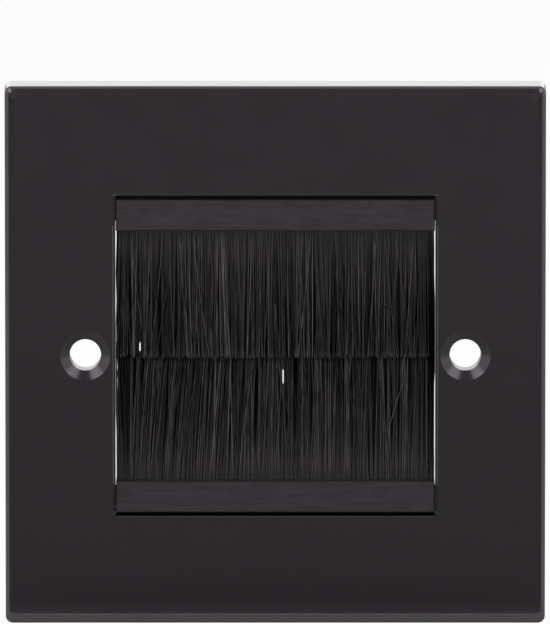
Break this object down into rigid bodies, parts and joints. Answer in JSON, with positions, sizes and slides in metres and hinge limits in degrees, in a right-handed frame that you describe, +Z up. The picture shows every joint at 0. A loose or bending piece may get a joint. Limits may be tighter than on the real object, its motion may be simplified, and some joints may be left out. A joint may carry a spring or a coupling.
{
  "type": "brush outlet cover",
  "caption": "Single-gang wall plate with a square aperture closed by two facing rows of brush filaments, so cables can pass through a wall.",
  "frame": {"origin": "centre of the rim's rear face, in the wall plane, midway between the two fixing holes", "axes": "+Y into the wall, so the front face looks towards -Y; +Z up; +X to the right as seen from the front"},
  "size_m": [0.086, 0.008, 0.086],
  "materials": {
    "plate": "black gloss moulded plastic",
    "holder": "black satin moulded plastic",
    "channel": "galvanised strip, rolled and pinched",
    "wire": "drawn wire",
    "bristle": "black nylon filament with a slight sheen"
  },
  "bodies": {
    "root": {"face_plate": "plate", "upper_brush_holder": "holder", "lower_brush_holder": "holder", "upper_crimp_channel": "channel", "lower_crimp_channel": "channel", "upper_core_wire": "wire", "lower_core_wire": "wire", "upper_bristles": "bristle", "lower_bristles": "bristle"}
  },
  "joints": []
}
